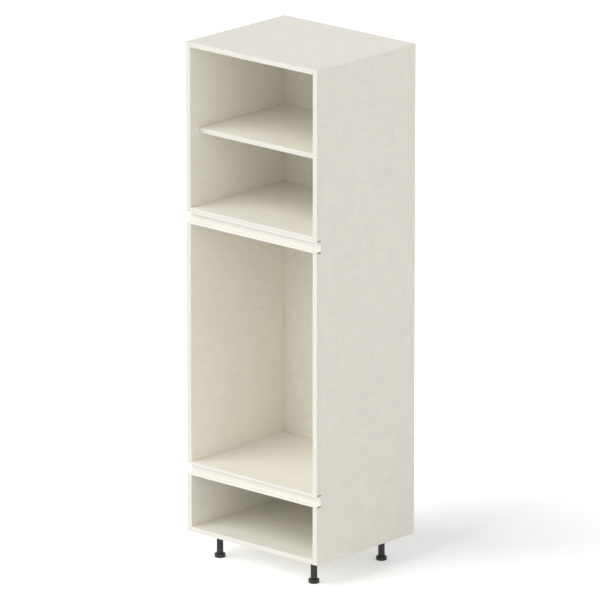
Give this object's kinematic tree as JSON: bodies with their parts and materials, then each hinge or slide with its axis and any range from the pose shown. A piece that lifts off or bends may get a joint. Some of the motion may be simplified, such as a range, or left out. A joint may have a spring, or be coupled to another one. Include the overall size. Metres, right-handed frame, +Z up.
{
  "type": "tall oven housing unit",
  "caption": "Tall kitchen carcass with an oven niche between a shelved compartment above and a low one below, recessed handle rails across the front and adjustable legs.",
  "frame": {"origin": "centre of the footprint, on the floor under the leg pads", "axes": "+Z up, the open front faces -Y, +X to the right seen from the front"},
  "size_m": [0.6, 0.5, 1.835],
  "materials": {
    "melamine_board": "melamine-faced board, fine linen print, stone cream, matt",
    "back_board": "coated fibreboard, same print, matt",
    "edging": "ABS edging, pale cream, satin",
    "handle_rail": "extruded, powder coated cream, satin",
    "zinc_plated_steel": "pressed steel, bright zinc plating",
    "die_cast_zinc": "die-cast zinc, satin",
    "black_plastic": "moulded, fine texture, black",
    "rubber_pad": "moulded rubber, matt"
  },
  "bodies": {
    "carcass": {"back_panel": "back_board", "bottom_left_cam_fitting": "die_cast_zinc", "bottom_panel": "melamine_board", "bottom_panel_edging": "edging", "bottom_right_cam_fitting": "die_cast_zinc", "front_left_leg_socket": "black_plastic", "front_left_leg_tube": "black_plastic", "front_left_shelf_pin": "zinc_plated_steel", "front_right_leg_socket": "black_plastic", "front_right_leg_tube": "black_plastic", "front_right_shelf_pin": "zinc_plated_steel", "left_side_edging_low": "edging", "left_side_edging_middle": "edging", "left_side_edging_top": "edging", "left_side_panel": "melamine_board", "lower_handle_rail": "handle_rail", "lower_left_bracket_screw": "zinc_plated_steel", "lower_left_rail_bracket": "zinc_plated_steel", "lower_rear_rail": "melamine_board", "lower_right_bracket_screw": "zinc_plated_steel", "lower_right_rail_bracket": "zinc_plated_steel", "oven_floor_edging": "edging", "oven_floor_left_cam_fitting": "die_cast_zinc", "oven_floor_panel": "melamine_board", "oven_floor_right_cam_fitting": "die_cast_zinc", "rear_left_leg_socket": "black_plastic", "rear_left_leg_tube": "black_plastic", "rear_left_shelf_pin": "zinc_plated_steel", "rear_right_leg_socket": "black_plastic", "rear_right_leg_tube": "black_plastic", "rear_right_shelf_pin": "zinc_plated_steel", "right_side_edging_low": "edging", "right_side_edging_middle": "edging", "right_side_edging_top": "edging", "right_side_panel": "melamine_board", "top_left_cam_fitting": "die_cast_zinc", "top_panel": "melamine_board", "top_panel_edging": "edging", "top_right_cam_fitting": "die_cast_zinc", "upper_floor_edging": "edging", "upper_floor_left_cam_fitting": "die_cast_zinc", "upper_floor_panel": "melamine_board", "upper_floor_right_cam_fitting": "die_cast_zinc", "upper_handle_rail": "handle_rail", "upper_left_bracket_screw": "zinc_plated_steel", "upper_left_rail_bracket": "zinc_plated_steel", "upper_rear_rail": "melamine_board", "upper_right_bracket_screw": "zinc_plated_steel", "upper_right_rail_bracket": "zinc_plated_steel"},
    "shelf": {"removable_shelf": "melamine_board", "shelf_edging": "edging"},
    "front_left_pad": {"front_left_leg_pad": "rubber_pad"},
    "front_left_foot": {"front_left_leg_foot": "black_plastic"},
    "front_right_pad": {"front_right_leg_pad": "rubber_pad"},
    "front_right_foot": {"front_right_leg_foot": "black_plastic"},
    "rear_left_pad": {"rear_left_leg_pad": "rubber_pad"},
    "rear_left_foot": {"rear_left_leg_foot": "black_plastic"},
    "rear_right_pad": {"rear_right_leg_pad": "rubber_pad"},
    "rear_right_foot": {"rear_right_leg_foot": "black_plastic"}
  },
  "joints": [
    {"name": "shelf_slide", "type": "slide", "parent": "carcass", "child": "shelf", "axis": [0, -1, 0], "range_m": [0, 0.36]},
    {"name": "front_left_leg_height", "type": "slide", "parent": "carcass", "child": "front_left_pad", "axis": [0, 0, -1], "range_m": [0, 0.02]},
    {"name": "front_left_foot_turn", "type": "hinge", "parent": "front_left_pad", "child": "front_left_foot", "pos_m": [-0.218, -0.174, 0], "axis": [0, 0, -1], "range_deg": [0, 1800]},
    {"name": "front_right_leg_height", "type": "slide", "parent": "carcass", "child": "front_right_pad", "axis": [0, 0, -1], "range_m": [0, 0.02]},
    {"name": "front_right_foot_turn", "type": "hinge", "parent": "front_right_pad", "child": "front_right_foot", "pos_m": [0.218, -0.174, 0], "axis": [0, 0, -1], "range_deg": [0, 1800]},
    {"name": "rear_left_leg_height", "type": "slide", "parent": "carcass", "child": "rear_left_pad", "axis": [0, 0, -1], "range_m": [0, 0.02]},
    {"name": "rear_left_foot_turn", "type": "hinge", "parent": "rear_left_pad", "child": "rear_left_foot", "pos_m": [-0.218, 0.174, 0], "axis": [0, 0, -1], "range_deg": [0, 1800]},
    {"name": "rear_right_leg_height", "type": "slide", "parent": "carcass", "child": "rear_right_pad", "axis": [0, 0, -1], "range_m": [0, 0.02]},
    {"name": "rear_right_foot_turn", "type": "hinge", "parent": "rear_right_pad", "child": "rear_right_foot", "pos_m": [0.218, 0.174, 0], "axis": [0, 0, -1], "range_deg": [0, 1800]}
  ],
  "couplings": [
    {"joint": "front_left_leg_height", "follows": "front_left_foot_turn", "m_per_rad": 0.000636},
    {"joint": "front_right_leg_height", "follows": "front_right_foot_turn", "m_per_rad": 0.000636},
    {"joint": "rear_left_leg_height", "follows": "rear_left_foot_turn", "m_per_rad": 0.000636},
    {"joint": "rear_right_leg_height", "follows": "rear_right_foot_turn", "m_per_rad": 0.000636}
  ]
}
